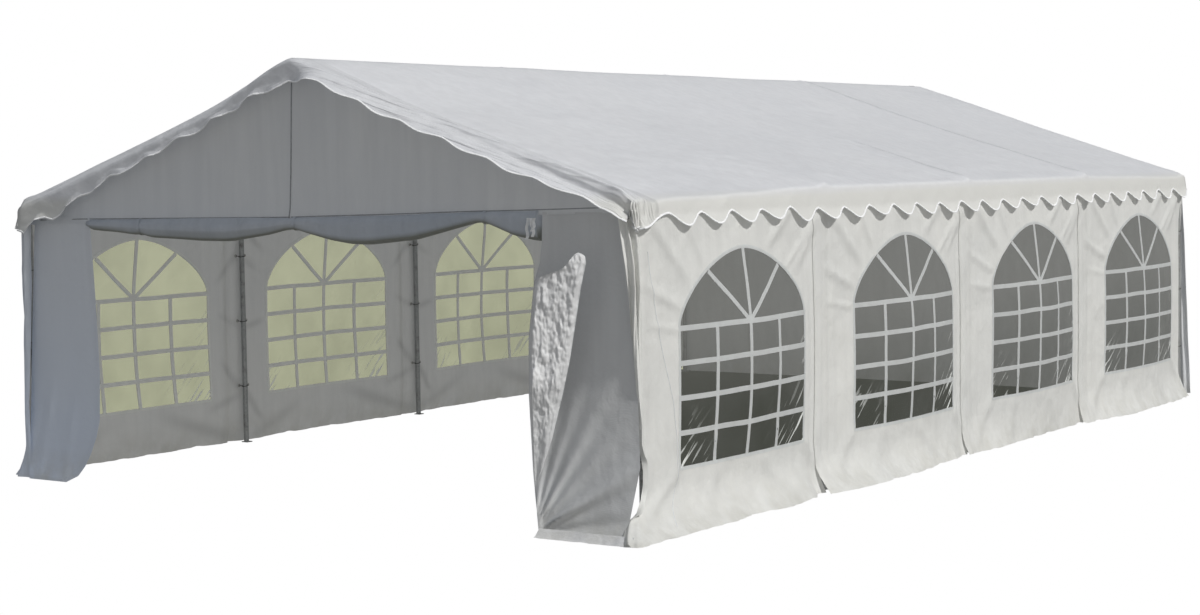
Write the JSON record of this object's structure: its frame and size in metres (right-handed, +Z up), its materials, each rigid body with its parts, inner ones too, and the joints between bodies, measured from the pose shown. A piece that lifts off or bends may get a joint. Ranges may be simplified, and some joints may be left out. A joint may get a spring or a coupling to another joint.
{
  "type": "marquee storage tent",
  "caption": "Long gabled marquee tent: steel tube arches, white fabric roof with scalloped valances, side walls with arched film windows, open front doorway with rolled curtain.",
  "frame": {"origin": "ground level, in the middle of the tent's footprint", "axes": "+X across the gable, to the right seen from the front; +Y along the ridge, from the open front gable to the closed rear; +Z up"},
  "size_m": [5, 8.2, 2.66],
  "materials": {
    "frame_steel": "galvanized steel tube, dull grey with faint spangle",
    "roof_cloth": "white woven sheeting, satin, softly creased",
    "wall_cloth": "white woven sheeting, satin, creased, with welded seams",
    "window_film": "clear flexible window film with white glazing bars"
  },
  "bodies": {
    "root": {"eave_rail_left": "frame_steel", "eave_rail_right": "frame_steel", "eave_valance_left": "roof_cloth", "eave_valance_right": "roof_cloth", "front_door_roll": "wall_cloth", "front_gable": "wall_cloth", "front_panel_left": "wall_cloth", "front_panel_right": "wall_cloth", "gable_valance_front": "roof_cloth", "gable_valance_rear": "roof_cloth", "leg_left_1": "frame_steel", "leg_left_2": "frame_steel", "leg_left_3": "frame_steel", "leg_left_4": "frame_steel", "leg_left_5": "frame_steel", "leg_right_1": "frame_steel", "leg_right_2": "frame_steel", "leg_right_3": "frame_steel", "leg_right_4": "frame_steel", "leg_right_5": "frame_steel", "rafter_left_1": "frame_steel", "rafter_left_2": "frame_steel", "rafter_left_3": "frame_steel", "rafter_left_4": "frame_steel", "rafter_left_5": "frame_steel", "rafter_right_1": "frame_steel", "rafter_right_2": "frame_steel", "rafter_right_3": "frame_steel", "rafter_right_4": "frame_steel", "rafter_right_5": "frame_steel", "rear_wall": "wall_cloth", "ridge_rail": "frame_steel", "roof_left": "roof_cloth", "roof_right": "roof_cloth", "side_panel_left_1": "wall_cloth", "side_panel_left_2": "wall_cloth", "side_panel_left_3": "wall_cloth", "side_panel_left_4": "wall_cloth", "side_panel_right_1": "wall_cloth", "side_panel_right_2": "wall_cloth", "side_panel_right_3": "wall_cloth", "side_panel_right_4": "wall_cloth", "window_left_1": "window_film", "window_left_2": "window_film", "window_left_3": "window_film", "window_left_4": "window_film", "window_right_1": "window_film", "window_right_2": "window_film", "window_right_3": "window_film", "window_right_4": "window_film"}
  },
  "joints": []
}
